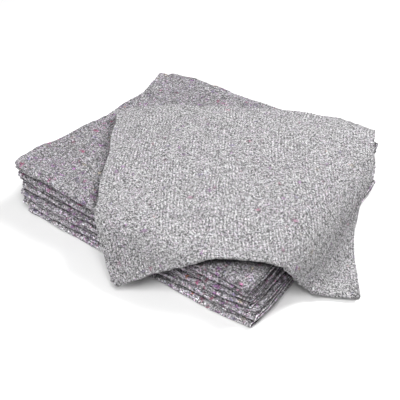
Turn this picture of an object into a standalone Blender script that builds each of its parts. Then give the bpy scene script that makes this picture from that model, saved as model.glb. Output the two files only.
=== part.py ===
"""A stack of moving blankets: six lie folded on each other, and a seventh lies folded across the top.

Every blanket is one felt cloth of about 1.37 by 1.83 m. It is folded once across its width and then
in thirds along its length, so each folded blanket is six plies of one unbroken cloth.

Axes: +X runs along the folded length, +Y along the folded width, and +Z up. The origin is on the
ground under the middle of the stack. Sizes are in metres, and the tables give millimetres.
"""

import math
from collections import namedtuple

import bpy
import numpy as np

MM = 0.001

# The cloth and its folds
FOLDED_LENGTH = 0.686
FOLDED_WIDTH = 0.610
PLY = 0.0026
Fold = namedtuple("Fold", "length width ply_pitch pass_pitch run_steps pass_steps bend_steps")
STACKED_FOLD = Fold(FOLDED_LENGTH, FOLDED_WIDTH, 0.0040, 0.0097, 5, 4, 5)
DRAPED_FOLD = Fold(0.7006, 0.5846, 0.0034, 0.0069, 17, 15, 5)
FOLD_ARC_STEPS = 4

# The stack, from the ground up. The corners are named as the picture shows them: left is at -X -Y,
# front at +X -Y, right at +X +Y and back at -X +Y. Each corner cell gives how far the corner strays
# along X and along Y from the plain rectangle, and thick is the folded thickness at the corners.
# bow draws the -X edge in, nose rounds off its left corner, slip moves the +X edge at the cloth's
# free end, two bends and other free end, and short holds the free ends back from the fold edges.
Layer = namedtuple("Layer", "left front right back thick bow nose slip short fold_on_top")
LAYERS = (
    Layer((-1, -4), (12, -15), (13, 4), (3, -1), (23, 24, 24, 16), 1, 0, (0, -2, 3, -7), (6, 12), False),
    Layer((-13, -6), (21, -8), (16, 5), (0, 0), (28, 23, 24, 17), -2, 0, (-4, 0, -9, -5), (10, 5), False),
    Layer((-12, -8), (4, -4), (7, 3), (1, -1), (26, 21, 25, 18), 2, 0, (3, -8, 0, 0), (4, 14), False),
    Layer((-14, -3), (0, -3), (6, 4), (-3, 2), (28, 16, 25, 18), 3, 0, (-6, 0, -3, -10), (8, 7), False),
    Layer((-18, -9), (0, -8), (5, 7), (-19, 10), (23, 17, 25, 18), 48, 0, (0, -5, -8, 2), (12, 9), True),
    Layer((-59, -7), (2, -7), (9, 4), (37, -4), (27, 24, 25, 17), 35, 34, (-5, 0, -4, -9), (9, 16), True),
)
CROWN = 0.022
LAYER_GAP = 0.0020
WANDER = 0.0012
WANDER_LENGTH = 0.62
WANDER_TURNS = (1.9, 2.3)
CORNER_ROUND = 0.006
CORNER_SHARPNESS = 6
NOSE_SHARPNESS = 8

# The blanket across the top: where its middle lies and how it is turned before it is draped
DRAPED_CENTRE = (0.1599, -0.0450)
DRAPED_TURN = math.radians(33.2)
DRAPED_LIFT = 0.0175
DRAPED_ARCH = 0.012
DRAPED_SKEW = 0.0072
DRAPED_SLIP = (-4, 0, -5, 0)
DRAPED_SHORT = (8, 14)
GROUND_REST = 0.0109
GROUND_SOFTNESS = 0.0025

# How far each edge of the draped blanket bows inwards at its middle, as a share of its size, and
# how lopsided that bow is
Bow = namedtuple("Bow", "depth lopsided")
FRONT_BOW = Bow(0.0582, -0.0333)
BACK_BOW = Bow(0.0070, 0.0029)
SIDE_BOW = Bow(-0.0033, 0.0503)
FAR_SIDE_BOW = Bow(-0.0411, -0.0688)

# A dip in its back edge: how deep, and where and how wide as shares of its length
Dip = namedtuple("Dip", "depth at width")
BACK_DIP = Dip(0.022, 0.36, 0.13)

# The flaps that hang over the stack's edges. start is how far inside the edge the bend begins,
# bend is the length of cloth over which it reaches its slope, and flare eases the slope past that,
# in radians for each metre.
Flap = namedtuple("Flap", "start slope bend flare")
FRONT_LEFT_FLAP = Flap(0.0195, math.radians(62), 0.0752, -0.8)
FRONT_RIGHT_FLAP = Flap(0.0225, math.radians(88.6), 0.1018, 11.5)
BACK_RIGHT_FLAP = Flap(0.0205, math.radians(46.6), 0.0434, 0.0)
FLAP_REACH = 0.45
FLAP_SAMPLES = 451
NORMAL_STEP = 0.002

# Felt colours, as linear red, green and blue
STACK_GREYS = (
    (0.245, 0.235, 0.250),
    (0.270, 0.258, 0.275),
    (0.225, 0.218, 0.232),
    (0.262, 0.250, 0.270),
    (0.238, 0.226, 0.244),
    (0.285, 0.275, 0.290),
)
DRAPED_GREY = (0.420, 0.420, 0.425)
FELT_ROUGHNESS = 0.95
CREASE_ANGLE = math.radians(50)


def clear_scene():
    """Removes whatever the file opened with."""
    for item in list(bpy.data.objects):
        bpy.data.objects.remove(item, do_unlink=True)


def felt(name, colour):
    """A plain matt felt of one colour."""
    material = bpy.data.materials.new(name)
    material.use_nodes = True
    surface = material.node_tree.nodes["Principled BSDF"]
    surface.inputs["Base Color"].default_value = (*colour, 1.0)
    surface.inputs["Roughness"].default_value = FELT_ROUGHNESS
    surface.inputs["Metallic"].default_value = 0.0
    return material


def hairpin(fold):
    """The cloth folded once, as an outline in length and height: two runs joined by a round fold at +X.

    Returns the outer line and the inner line, point for point, each running along the upper ply,
    round the fold and back along the lower ply.
    """
    outer = (fold.ply_pitch + PLY) / 2
    inner = (fold.ply_pitch - PLY) / 2
    fold_centre = fold.length / 2 - outer
    run = np.linspace(-fold.length / 2, fold_centre, fold.run_steps + 1)
    turn = np.linspace(math.pi / 2, -math.pi / 2, FOLD_ARC_STEPS + 1)[1:-1]
    lines = []
    for radius in (outer, inner):
        along = np.concatenate([run, fold_centre + radius * np.cos(turn), run[::-1]])
        height = np.concatenate([np.full(run.size, radius), radius * np.sin(turn), np.full(run.size, -radius)])
        lines.append(np.stack([along, height], axis=1))
    return lines


def thirds(fold, short):
    """The path of the thirds fold, in width and height, with its normals and its share of the way.

    Three passes lie a pass pitch apart. The first starts at a free end at +Y and runs to a bend at
    -Y, the second returns to a bend at +Y, and the third ends in a free end at -Y.
    """
    radius = fold.pass_pitch / 2
    reach = fold.width / 2 - radius - (fold.ply_pitch + PLY) / 2
    start = fold.width / 2 - short[0] * MM
    end = -fold.width / 2 + short[1] * MM
    turn = np.linspace(0, math.pi, fold.bend_steps + 1)[1:-1]
    limits = ((start, -reach, -2 * radius), (-reach, reach, 0.0), (reach, end, 2 * radius))
    width, height, tangent, leg = [], [], [], []
    for number, (first, last, level) in enumerate(limits):
        width.append(np.linspace(first, last, fold.pass_steps + 1))
        height.append(np.full(fold.pass_steps + 1, level))
        tangent.append(np.full(fold.pass_steps + 1, math.pi if number % 2 == 0 else 0.0))
        leg.append(np.linspace(number, number + 1, fold.pass_steps + 1))
        if number < 2:
            side = -1 if number == 0 else 1
            width.append(last + side * radius * np.sin(turn))
            height.append(level + radius * (1 - np.cos(turn)))
            tangent.append(math.pi / 2 + side * (turn - math.pi / 2))
            leg.append(np.full(turn.size, number + 1.0))
    angle = np.concatenate(tangent)
    normal = np.stack([-np.sin(angle), np.cos(angle)], axis=1)
    return np.stack([np.concatenate(width), np.concatenate(height)], axis=1), normal, np.concatenate(leg)


def folded_cloth(fold, slip, short):
    """One folded blanket lying flat about its own middle, as a grid of stations by outline points."""
    outer, inner = hairpin(fold)
    outline = np.concatenate([outer, inner[::-1]])
    path, normal, leg = thirds(fold, short)
    grid = np.empty((len(path), len(outline), 3))
    grid[:, :, 0] = outline[None, :, 0] + np.interp(leg, range(len(slip)), slip)[:, None] * MM
    grid[:, :, 1] = path[:, None, 0] + normal[:, None, 0] * outline[None, :, 1]
    grid[:, :, 2] = path[:, None, 1] + normal[:, None, 1] * outline[None, :, 1]
    return grid


def folded_height(fold):
    """The full height of a folded blanket lying flat."""
    return 2 * fold.pass_pitch + fold.ply_pitch + PLY


def at_corners(across, along, values):
    """Blends the left, front, right and back values over the rectangle, whose sides run from 0 to 1."""
    left, front, right, back = values
    near = left * (1 - across) + front * across
    far = back * (1 - across) + right * across
    return near * (1 - along) + far * along


def level(number, x, y):
    """The height of the surface between two blankets of the stack; number 0 is the ground.

    It blends the corner thicknesses below it, adds a share of the crown, and lets the surfaces
    between the blankets wander a little.
    """
    if number == 0:
        return np.zeros_like(x)
    corners = [sum(layer.thick[corner] for layer in LAYERS[:number]) * MM for corner in range(4)]
    height = at_corners(x / FOLDED_LENGTH + 0.5, y / FOLDED_WIDTH + 0.5, corners)
    dome = (1 - (2 * x / FOLDED_LENGTH) ** 2) * (1 - (2 * y / FOLDED_WIDTH) ** 2)
    height = height + CROWN * dome * number / len(LAYERS)
    if number < len(LAYERS):
        wave = 2 * math.pi / WANDER_LENGTH
        turn_x, turn_y = (number * turn for turn in WANDER_TURNS)
        height = height + WANDER * np.sin(wave * x + turn_x) * np.cos(wave * y - turn_y)
    return height


def stacked(grid, number):
    """Lays a flat folded blanket into the stack, between the surfaces below and above it."""
    layer = LAYERS[number]
    x, y, z = grid[..., 0], grid[..., 1], grid[..., 2]
    across = x / FOLDED_LENGTH + 0.5
    along = y / FOLDED_WIDTH + 0.5
    corners = (layer.left, layer.front, layer.right, layer.back)
    drawn_in = CORNER_ROUND * np.abs((2 * across - 1) * (2 * along - 1)) ** CORNER_SHARPNESS
    bow = layer.bow * MM * (1 - across) * 4 * along * (1 - along)
    nose = layer.nose * MM * (1 - across) * (1 - along) ** NOSE_SHARPNESS
    stray_x = at_corners(across, along, [corner[0] * MM for corner in corners])
    stray_y = at_corners(across, along, [corner[1] * MM for corner in corners])
    new_x = x + stray_x + bow + nose - np.sign(x) * drawn_in
    new_y = y + stray_y - np.sign(y) * drawn_in
    share = z / folded_height(STACKED_FOLD) + 0.5
    if layer.fold_on_top:
        share = 1 - share
    bottom = level(number, new_x, new_y) + (LAYER_GAP if number else 0.0)
    top = level(number + 1, new_x, new_y)
    return np.stack([new_x, new_y, bottom + share * (top - bottom)], axis=-1)


def flap_profile(flap):
    """How far out and how far down the cloth gets, for each length of cloth past the bend's start."""
    length = np.linspace(0, FLAP_REACH, FLAP_SAMPLES)
    share = np.clip(length / flap.bend, 0, 1)
    slope = flap.slope * share**2 * (3 - 2 * share) - flap.flare * np.maximum(length - flap.bend, 0)
    step = length[1]
    out = np.concatenate([[0], np.cumsum((np.cos(slope[1:]) + np.cos(slope[:-1])) / 2 * step)])
    down = np.concatenate([[0], np.cumsum((np.sin(slope[1:]) + np.sin(slope[:-1])) / 2 * step)])
    return length, out, down


def hang(place, edge, side, flap):
    """Bends the cloth over one straight edge of the stack; side is the way out, 1 or -1.

    Returns the new places along that axis and how far each point drops.
    """
    past = side * place - edge + flap.start
    length, out, down = flap_profile(flap)
    bent = side * (edge - flap.start + np.interp(past, length, out))
    return np.where(past > 0, bent, place), np.interp(past, length, down)


def draped_middle(across, along):
    """The middle surface of the draped blanket; across and along run from -0.5 to 0.5 over its sides.

    The rectangle's edges are bowed, its back edge dips and its corners are drawn in. It is turned and
    moved into place, bent over the three edges of the stack that it crosses, and lifted softly where
    its ends lie on the ground.
    """
    mid_across = 1 - 4 * across**2
    mid_along = 1 - 4 * along**2
    front = (FRONT_BOW.depth + FRONT_BOW.lopsided * across) * (0.5 - along)
    back = (BACK_BOW.depth + BACK_BOW.lopsided * across) * (0.5 + along)
    side = (SIDE_BOW.depth + SIDE_BOW.lopsided * along) * (0.5 - across)
    far_side = (FAR_SIDE_BOW.depth + FAR_SIDE_BOW.lopsided * along) * (0.5 + across)
    drawn_in = CORNER_ROUND * np.abs(4 * across * along) ** CORNER_SHARPNESS
    flat_x = (across + mid_along * (side + far_side) + DRAPED_SKEW * along) * DRAPED_FOLD.length
    flat_y = (along + mid_across * (front + back)) * DRAPED_FOLD.width
    flat_x = flat_x - np.sign(across) * drawn_in
    dip = BACK_DIP.depth * np.exp(-(((across - BACK_DIP.at) / BACK_DIP.width) ** 2))
    flat_y = flat_y - np.sign(along) * drawn_in - dip * (0.5 + along) ** 2
    cosine, sine = math.cos(DRAPED_TURN), math.sin(DRAPED_TURN)
    x = DRAPED_CENTRE[0] + flat_x * cosine - flat_y * sine
    y = DRAPED_CENTRE[1] + flat_x * sine + flat_y * cosine
    y, drop_front = hang(y, FOLDED_WIDTH / 2, -1, FRONT_LEFT_FLAP)
    y, drop_back = hang(y, FOLDED_WIDTH / 2, 1, BACK_RIGHT_FLAP)
    x, drop_right = hang(x, FOLDED_LENGTH / 2, 1, FRONT_RIGHT_FLAP)
    over_x = np.clip(x, -FOLDED_LENGTH / 2, FOLDED_LENGTH / 2)
    over_y = np.clip(y, -FOLDED_WIDTH / 2, FOLDED_WIDTH / 2)
    dome = (1 - (2 * over_x / FOLDED_LENGTH) ** 2) * (1 - (2 * over_y / FOLDED_WIDTH) ** 2)
    z = level(len(LAYERS), over_x, over_y) + DRAPED_ARCH * dome + DRAPED_LIFT
    z = z - drop_front - drop_back - drop_right
    z = GROUND_REST + GROUND_SOFTNESS * np.logaddexp(0, (z - GROUND_REST) / GROUND_SOFTNESS)
    return np.stack([x, y, z], axis=-1)


def draped(grid):
    """Lays a flat folded blanket on the draped middle surface, each ply at its own distance from it."""
    across = grid[..., 0] / DRAPED_FOLD.length
    along = grid[..., 1] / DRAPED_FOLD.width
    by_across = draped_middle(across + NORMAL_STEP, along) - draped_middle(across - NORMAL_STEP, along)
    by_along = draped_middle(across, along + NORMAL_STEP) - draped_middle(across, along - NORMAL_STEP)
    normal = np.cross(by_across, by_along)
    normal /= np.linalg.norm(normal, axis=-1, keepdims=True)
    return draped_middle(across, along) + normal * grid[..., 2:3]


def split_squares(flat, squares):
    """Cuts each square of the flat cloth along the diagonal that runs towards +X +Y."""
    a, b, c, d = (flat[squares[:, corner]] for corner in range(4))
    rising = (c[:, 0] - a[:, 0]) * (c[:, 1] - a[:, 1]) > 0
    first = np.where(rising[:, None], squares[:, [0, 1, 2]], squares[:, [0, 1, 3]])
    second = np.where(rising[:, None], squares[:, [0, 2, 3]], squares[:, [1, 2, 3]])
    return np.concatenate([first, second])


def cloth_object(name, flat, laid, colour, parent):
    """Makes a closed cloth of a grid whose outline closes on itself, capped at both free ends.

    flat is the blanket before it was laid, which settles how its squares are cut, and laid is the
    same grid where it lies.
    """
    stations, around = laid.shape[:2]
    lattice = np.arange(stations * around).reshape(stations, around)
    following = np.roll(lattice, -1, axis=1)
    sides = np.stack([lattice[:-1], following[:-1], following[1:], lattice[1:]], axis=-1).reshape(-1, 4)
    rung = np.arange(around // 2 - 1)
    ladder = np.stack([rung, around - 1 - rung, around - 2 - rung, rung + 1], axis=1)
    squares = np.concatenate([sides, lattice[0][ladder], lattice[-1][ladder[:, ::-1]]])
    faces = split_squares(flat.reshape(-1, 3), squares)
    points = laid.reshape(-1, 3)
    a, b, c = (points[faces[:, corner]] for corner in range(3))
    if np.sum(np.cross(a, b) * c) < 0:
        faces = faces[:, ::-1]
    middle = (points.min(axis=0) + points.max(axis=0)) / 2
    mesh = bpy.data.meshes.new(name)
    mesh.from_pydata((points - middle).tolist(), [], faces.tolist())
    mesh.shade_smooth()
    mesh.set_sharp_from_angle(angle=CREASE_ANGLE)
    mesh.materials.append(felt(name + "_felt", colour))
    item = bpy.data.objects.new(name, mesh)
    item.location = middle
    item.parent = parent
    bpy.context.scene.collection.objects.link(item)
    return item


def main():
    """Builds the six stacked blankets and the draped one."""
    clear_scene()
    stack = bpy.data.objects.new("stack", None)
    bpy.context.scene.collection.objects.link(stack)
    for number, layer in enumerate(LAYERS):
        flat = folded_cloth(STACKED_FOLD, layer.slip, layer.short)
        laid = stacked(flat, number)
        cloth_object(f"blanket_{number + 1}", flat, laid, STACK_GREYS[number], stack)
    flat = folded_cloth(DRAPED_FOLD, DRAPED_SLIP, DRAPED_SHORT) * (-1, 1, -1)
    cloth_object("draped_blanket", flat, draped(flat), DRAPED_GREY, stack)


main()
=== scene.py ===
"""The looks of the stack of moving blankets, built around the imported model.

Six felt blankets lie folded on each other, and a seventh, a lighter one, lies askew across the top and
hangs down past the edges. Each is one closed cloth surface of six plies. It is worked out on a grid of
two parameters, the way round the half fold's outline and the way along the thirds fold's path, and then
laid where its solid lies, with the unevenness of real cloth.

Axes: +X runs along the folded length, +Y along the folded width, and +Z up. Sizes are in metres, and
the tables give millimetres.
"""

import logging
import math
from dataclasses import dataclass, replace
from enum import Enum
from typing import Any

import bpy
import numpy as np
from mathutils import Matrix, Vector
from numpy.typing import NDArray


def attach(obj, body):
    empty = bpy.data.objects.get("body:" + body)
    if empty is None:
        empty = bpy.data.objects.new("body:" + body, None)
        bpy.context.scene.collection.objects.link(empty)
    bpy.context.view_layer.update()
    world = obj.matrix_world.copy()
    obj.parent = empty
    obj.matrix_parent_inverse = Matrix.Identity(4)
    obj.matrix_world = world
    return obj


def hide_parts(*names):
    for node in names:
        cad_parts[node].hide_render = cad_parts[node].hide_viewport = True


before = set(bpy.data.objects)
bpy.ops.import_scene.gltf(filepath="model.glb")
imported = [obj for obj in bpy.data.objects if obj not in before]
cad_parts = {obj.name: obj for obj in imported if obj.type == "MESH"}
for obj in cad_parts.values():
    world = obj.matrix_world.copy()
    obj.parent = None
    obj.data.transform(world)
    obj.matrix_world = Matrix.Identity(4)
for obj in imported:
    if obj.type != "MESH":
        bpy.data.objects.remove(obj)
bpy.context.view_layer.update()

log = logging.getLogger("moving_blankets")

Array = NDArray[np.float64]
Stretch = tuple[Array, Array, Array]
Colour = tuple[float, float, float]
Four = tuple[float, float, float, float]
Stops = tuple[tuple[float, Colour], ...]
Socket = bpy.types.NodeSocket
Node = bpy.types.Node
Material = bpy.types.Material
Piece = bpy.types.Object

MM = 0.001
CLOTH_MAP = "cloth"

# A blanket of the stack as it lies folded, and how far from its cut edge the half fold is when it lies flat.
FOLDED_LENGTH = 0.686
FOLDED_WIDTH = 0.610
HALF_FOLD = 0.6846


class FreeEnd(Enum):
    """Which way up a folded blanket lies: where the free end at its -Y side comes."""

    ABOVE = 1
    BELOW = -1


@dataclass(frozen=True)
class Steps:
    """How finely a blanket's grid is divided.

    Attributes:
        run: steps along each outer run of the half fold.
        inner_ratio: how many outer steps one inner step spans.
        half_turn: steps round the half fold.
        passes: steps along each pass of the thirds fold.
        bend: steps round each bend of the thirds fold.
        crowding: how far the steps crowd towards the ends of a run or pass, from 0 to 1.
    """

    run: int
    inner_ratio: int
    half_turn: int
    passes: tuple[int, int, int]
    bend: int
    crowding: float


# For a blanket with both faces covered, for the topmost of the stack, and for the one across it.
COVERED = Steps(144, 4, 10, (36, 36, 36), 10, 0.75)
TOPMOST = Steps(176, 4, 10, (120, 32, 32), 10, 0.35)
ACROSS = Steps(160, 4, 10, (28, 28, 146), 10, 0.30)


@dataclass(frozen=True)
class Waves:
    """A smooth uneven field: a sum of plane waves of seeded directions and phases.

    Attributes:
        seed: settles the directions and phases.
        lengths: wavelengths along X, Y and Z.
        height: root mean square of the field, in metres.
        count: how many waves are added up.
    """

    seed: int
    lengths: tuple[float, float, float]
    height: float
    count: int = 14

    LEAST_STRETCH = 0.6
    STRETCH_SPREAD = 0.8

    def at(self, points: Array) -> Array:
        """The field's value at each point: height times the root of 2 / count times the sum of sines.

        Each wave is stretched a little to break up the repeat: its rate is its heading over the
        wavelengths, times 0.6 to 1.4.

        Args:
            points: places, with X, Y and Z last.

        Returns:
            One value for each place.
        """
        draw = np.random.default_rng(self.seed)
        heading = draw.random((self.count, 3)) * 2 - 1
        heading /= np.linalg.norm(heading, axis=1, keepdims=True)
        stretch = self.LEAST_STRETCH + self.STRETCH_SPREAD * draw.random((self.count, 1))
        phase = draw.random(self.count) * 2 * math.pi
        rates = 2 * math.pi * heading * stretch / np.array(self.lengths)
        return self.height * math.sqrt(2 / self.count) * np.sin(points @ rates.T + phase).sum(axis=-1)


@dataclass(frozen=True)
class Crease:
    """A soft trough or ridge in a blanket's face.

    Attributes:
        middle: its middle, along X and Y of the face, in millimetres.
        heading: the way it runs, in degrees from +X.
        length: how long it is, in millimetres.
        width: how wide it is, in millimetres.
        rise: how high it stands, in millimetres, below 0 for a trough.
    """

    middle: tuple[float, float]
    heading: float
    length: float
    width: float
    rise: float

    def at(self, x: Array, y: Array) -> Array:
        """Its height over the face: a bell across it times a flatter bell along it.

        Args:
            x: places along X, in metres.
            y: places along Y, in metres.

        Returns:
            Heights in metres.
        """
        angle = math.radians(self.heading)
        off_x = x - self.middle[0] * MM
        off_y = y - self.middle[1] * MM
        along = off_x * math.cos(angle) + off_y * math.sin(angle)
        across = -off_x * math.sin(angle) + off_y * math.cos(angle)
        bell_along = np.exp(-((2 * along / (self.length * MM)) ** 4))
        bell_across = np.exp(-((2 * across / (self.width * MM)) ** 2))
        return self.rise * MM * bell_along * bell_across


def crowded(first: float, last: float, steps: int, crowding: float) -> Array:
    """Places from first to last that crowd towards both ends.

    With t from 0 to 1, the share of the way is t less crowding times sin(2 pi t) / (2 pi).

    Args:
        first: the first place.
        last: the last place.
        steps: how many steps there are.
        crowding: from 0, even, to nearly 1.

    Returns:
        The places, one more than the steps.
    """
    t = np.linspace(0, 1, steps + 1)
    return first + (last - first) * (t - crowding * np.sin(2 * math.pi * t) / (2 * math.pi))


@dataclass(frozen=True)
class FoldedCloth:
    """A blanket folded in half across its width and then in thirds along its length.

    Attributes:
        steps: how finely its grid is divided.
        slip: how far each of the path's four marks strays along X, in millimetres.
        short: how far the two free ends stop short of the fold edges, in millimetres.
        length: the folded length.
        width: the folded width.
        ply: the cloth's thickness.
        ply_pitch: between the middles of the half fold's two plies.
        pass_pitch: between the middles of the thirds fold's passes.
    """

    steps: Steps
    slip: Four
    short: tuple[float, float]
    length: float = FOLDED_LENGTH
    width: float = FOLDED_WIDTH
    ply: float = 0.0026
    ply_pitch: float = 0.0040
    pass_pitch: float = 0.0097

    # Steps round a cut's half round, and the places round a free end, as shares of half a ply past it.
    CUT_STEPS = 4
    END_ROUNDING = (0.94, 0.78, 0.45)

    def height(self) -> float:
        """The full height of the blanket lying flat."""
        return 2 * self.pass_pitch + self.ply_pitch + self.ply

    def outline(self) -> Stretch:
        """The half fold's closed outline, in length and height.

        The cloth's middle line runs along the upper ply, round the fold at +X and back along the lower
        ply. The outline goes round it at half the cloth's thickness, with a half round at each cut.

        Returns:
            The middle line's place for each outline point, the way out from it for a full thickness,
            and how far along the flat cloth the point lies.
        """
        steps, half = self.steps, self.ply / 2
        radius = self.ply_pitch / 2
        cut = -self.length / 2 + half
        centre = self.length / 2 - radius - half
        run = crowded(cut, centre, steps.run, steps.crowding)
        inner_run = run[:: steps.inner_ratio]
        turn = np.linspace(math.pi / 2, -math.pi / 2, steps.half_turn + 1)[1:-1]
        round_cut = np.linspace(-math.pi / 2, math.pi / 2, self.CUT_STEPS + 1)[1:-1]
        arc = np.stack([np.cos(turn), np.sin(turn)], axis=1)
        arc_length = run[-1] - cut + radius * (math.pi / 2 - turn)
        whole = 2 * (run[-1] - cut) + radius * math.pi

        def straight(places: Array, side: int, way: int) -> Stretch:
            """One face of a ply.

            Args:
                places: places along the length.
                side: 1 for the upper ply, -1 for the lower one.
                way: 1 for the ply's upper face, -1 for its lower one.

            Returns:
                As the whole outline.
            """
            middle = np.stack([places, np.full(places.size, side * radius)], axis=1)
            out = np.stack([np.zeros(places.size), np.full(places.size, way * half)], axis=1)
            gone = places - cut if side > 0 else whole - (places - cut)
            return middle, out, gone

        def cut_end(side: int) -> Stretch:
            """The half round at a cut.

            Args:
                side: 1 for the upper ply, -1 for the lower one.

            Returns:
                As the whole outline.
            """
            middle = np.tile([cut, side * radius], (round_cut.size, 1))
            out = half * np.stack([-np.cos(round_cut), np.sin(round_cut)], axis=1)
            gone = np.full(round_cut.size, 0.0 if side > 0 else whole)
            return middle, out, gone

        fold = np.array([centre, 0.0]) + radius * arc
        stretches = (
            straight(run, 1, 1),
            (fold, half * arc, arc_length),
            straight(run[::-1], -1, -1),
            cut_end(-1),
            straight(inner_run, -1, 1),
            (fold[::-1], -half * arc[::-1], arc_length[::-1]),
            straight(inner_run[::-1], 1, -1),
            cut_end(1),
        )
        middle, out, gone = (np.concatenate(part) for part in zip(*stretches))
        return middle, out, gone

    def path(self) -> tuple[Array, Array, Array, Array, Array]:
        """The thirds fold's path, in width and height.

        Three passes lie a pass pitch apart. The first starts at a free end at +Y and runs to a bend at
        -Y, the second returns to a bend at +Y, and the third ends in a free end at -Y. At each free
        end the cloth thins down in a half round.

        Returns:
            The places, their normals, their leg, the share of the full thickness, and how far along
            the flat cloth they lie.
        """
        steps, radius = self.steps, self.pass_pitch / 2
        reach = self.width / 2 - radius - (self.ply_pitch + self.ply) / 2
        start = self.width / 2 - self.short[0] * MM
        end = -self.width / 2 + self.short[1] * MM
        turn = np.linspace(0, math.pi, steps.bend + 1)[1:-1]
        limits = ((start, -reach, -2 * radius), (-reach, reach, 0.0), (reach, end, 2 * radius))
        width, height, tangent, leg = [], [], [], []
        for number, (first, last, level) in enumerate(limits):
            places = crowded(first, last, steps.passes[number], steps.crowding)
            width.append(places)
            height.append(np.full(places.size, level))
            tangent.append(np.full(places.size, math.pi if number % 2 == 0 else 0.0))
            leg.append(number + (places - first) / (last - first))
            if number < 2:
                side = -1 if number == 0 else 1
                width.append(last + side * radius * np.sin(turn))
                height.append(level + radius * (1 - np.cos(turn)))
                tangent.append(math.pi / 2 + side * (turn - math.pi / 2))
                leg.append(np.full(turn.size, number + 1.0))
        rounding = np.array(self.END_ROUNDING)
        past = rounding * self.ply / 2
        ones = np.ones(rounding.size)
        width = np.concatenate([start + past, *width, end - past[::-1]])
        height = np.concatenate([limits[0][2] * ones, *height, limits[2][2] * ones])
        angle = np.concatenate([math.pi * ones, *tangent, math.pi * ones])
        leg = np.concatenate([0 * ones, *leg, 3 * ones])
        full = np.ones(width.size)
        full[: rounding.size] = np.sqrt(1 - rounding**2)
        full[-rounding.size :] = np.sqrt(1 - rounding[::-1] ** 2)
        place = np.stack([width, height], axis=1)
        normal = np.stack([-np.sin(angle), np.cos(angle)], axis=1)
        gone = np.concatenate([[0], np.cumsum(np.linalg.norm(np.diff(place, axis=0), axis=1))])
        return place, normal, leg, full, gone

    def grid(self) -> tuple[Array, Array]:
        """The blanket lying flat about its own middle.

        Each station of the path carries the outline: X is the outline's length and the slip, and Y and
        Z are the path's place plus its normal times the outline's height.

        Returns:
            The grid of points, stations by outline points by three, and the chart, which is the grid of
            the flat cloth's two coordinates.
        """
        middle, out, across_cloth = self.outline()
        place, normal, leg, full, along_cloth = self.path()
        section = middle[None] + full[:, None, None] * out[None]
        slip = np.interp(leg, range(len(self.slip)), self.slip)[:, None] * MM
        grid = np.empty((*section.shape[:2], 3))
        grid[..., 0] = section[..., 0] + slip
        grid[..., 1] = place[:, None, 0] + normal[:, None, 0] * section[..., 1]
        grid[..., 2] = place[:, None, 1] + normal[:, None, 1] * section[..., 1]
        chart = np.empty((*section.shape[:2], 2))
        chart[..., 0] = across_cloth[None]
        chart[..., 1] = along_cloth[:, None]
        return grid, chart

    def faces(self, stations: int, around: int) -> list[list[int]]:
        """The closed surface's faces: squares round the grid, and caps at its two free ends.

        A cap joins the outline's outer line to its inner line, whose steps each span several outer
        ones, and fills the half round at each cut.

        Args:
            stations: how many stations the grid has.
            around: how many points each outline has.

        Returns:
            The faces, all turned the same way.
        """
        steps = self.steps
        lattice = np.arange(stations * around).reshape(stations, around)
        following = np.roll(lattice, -1, axis=1)
        squares = np.stack([lattice[:-1], following[:-1], following[1:], lattice[1:]], axis=-1)
        run, turn, cut = steps.run + 1, steps.half_turn - 1, self.CUT_STEPS - 1
        inner_run = steps.run // steps.inner_ratio + 1
        rungs_of_run = np.arange(0, run, steps.inner_ratio)
        stops = np.concatenate([rungs_of_run, run + np.arange(turn), run + turn + rungs_of_run])
        outer_count, inner_count = 2 * run + turn, 2 * inner_run + turn
        inner = outer_count + cut + np.arange(inner_count)[::-1]
        rungs = []
        for span in (1, steps.inner_ratio):
            here = np.flatnonzero(np.diff(stops) == span)
            outer = stops[here + 1][:, None] - np.arange(span + 1)[None]
            rungs.append(np.column_stack([inner[here], inner[here + 1], outer]))
        lower_cut = outer_count - 1 + np.arange(cut + 2)[::-1]
        upper_cut = np.concatenate([[0], around - 1 - np.arange(cut + 1)])
        cap = [polygon for rung in rungs for polygon in rung.tolist()]
        cap += [lower_cut.tolist(), upper_cut.tolist()]
        last = (stations - 1) * around
        far_cap = [[last + point for point in face[::-1]] for face in cap]
        return squares.reshape(-1, 4).tolist() + cap + far_cap


@dataclass(frozen=True)
class Unevenness:
    """How the cloth departs from its even form: one smooth warp of space, so that no plies cross.

    Points are first moved sideways, by an amount that changes quickly with height, so that the edges
    of the plies stand out unevenly, and then up or down. At the ground nothing moves up or down.

    Attributes:
        edge_x: sideways stray along X.
        edge_y: sideways stray along Y.
        fray_x: finer sideways stray along X.
        fray_y: finer sideways stray along Y.
        swell: broad rise and fall.
        lumps: small rise and fall.
        ground: height over which the rise and fall sets in.
    """

    edge_x: Waves = Waves(11, (0.150, 0.110, 0.014), 0.0016)
    edge_y: Waves = Waves(12, (0.110, 0.150, 0.014), 0.0016)
    fray_x: Waves = Waves(15, (0.040, 0.034, 0.009), 0.0006)
    fray_y: Waves = Waves(16, (0.034, 0.040, 0.009), 0.0006)
    swell: Waves = Waves(13, (0.120, 0.120, 0.200), 0.0008)
    lumps: Waves = Waves(14, (0.028, 0.028, 0.030), 0.00034)
    ground: float = 0.020

    def warp(self, points: Array) -> Array:
        """Moves points by the fields.

        Args:
            points: places, with X, Y and Z last.

        Returns:
            The moved places.
        """
        moved = points.copy()
        moved[..., 0] += self.edge_x.at(points) + self.fray_x.at(points)
        moved[..., 1] += self.edge_y.at(points) + self.fray_y.at(points)
        share = np.clip(points[..., 2] / self.ground, 0, 1)
        moved[..., 2] += (self.swell.at(moved) + self.lumps.at(moved)) * share * share * (3 - 2 * share)
        return moved


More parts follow.
